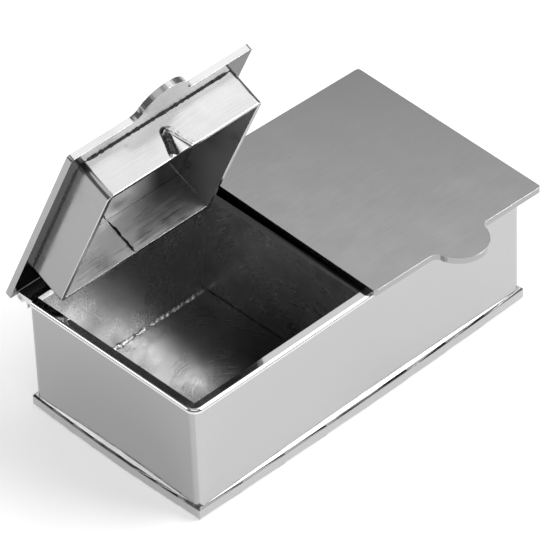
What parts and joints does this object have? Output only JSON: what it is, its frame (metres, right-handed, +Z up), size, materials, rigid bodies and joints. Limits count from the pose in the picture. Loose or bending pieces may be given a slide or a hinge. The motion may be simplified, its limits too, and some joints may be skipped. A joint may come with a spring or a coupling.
{
  "type": "twin-lid table box",
  "caption": "Small polished metal table box with a divider, a hinged lid with a thumb tab over each side, and a stepped base.",
  "frame": {"origin": "middle of the base plate's underside", "axes": "+X along the long side to the shut lid's end, -Y towards the thumb tabs, +Z up"},
  "size_m": [0.0681, 0.0435, 0.0572],
  "materials": {
    "sheet_polished": "polished silver plate, flat faces with a very fine satin",
    "rim_polished": "mirror polished silver plate",
    "inside_satin": "satin silver plate with round polishing marks",
    "collar_satin": "satin silver plate, brushed along the strip",
    "hinge_tube": "drawn tube, plated",
    "hinge_wire": "drawn wire"
  },
  "bodies": {
    "box": {"base_plate": "sheet_polished", "front_wall": "sheet_polished", "back_wall": "sheet_polished", "left_wall": "sheet_polished", "right_wall": "sheet_polished", "divider": "inside_satin", "front_rim": "rim_polished", "left_rim": "rim_polished", "right_rim": "rim_polished", "hinge_bearer": "rim_polished", "left_box_knuckle_1": "hinge_tube", "left_box_knuckle_2": "hinge_tube", "left_box_knuckle_3": "hinge_tube", "right_box_knuckle_1": "hinge_tube", "right_box_knuckle_2": "hinge_tube", "right_box_knuckle_3": "hinge_tube", "left_hinge_wire": "hinge_wire", "right_hinge_wire": "hinge_wire"},
    "left_lid": {"left_lid_plate": "sheet_polished", "left_collar": "collar_satin", "left_catch": "sheet_polished", "left_lid_knuckle_1": "hinge_tube", "left_lid_knuckle_2": "hinge_tube"},
    "right_lid": {"right_lid_plate": "sheet_polished", "right_collar": "collar_satin", "right_catch": "sheet_polished", "right_lid_knuckle_1": "hinge_tube", "right_lid_knuckle_2": "hinge_tube"}
  },
  "joints": [
    {"name": "left_lid_hinge", "type": "hinge", "parent": "box", "child": "left_lid", "pos_m": [-0.0162, 0.0184, 0.0194], "axis": [-1, 0, 0], "range_deg": [-65, 40]},
    {"name": "right_lid_hinge", "type": "hinge", "parent": "box", "child": "right_lid", "pos_m": [0.0175, 0.0184, 0.0194], "axis": [-1, 0, 0], "range_deg": [0, 105]}
  ]
}
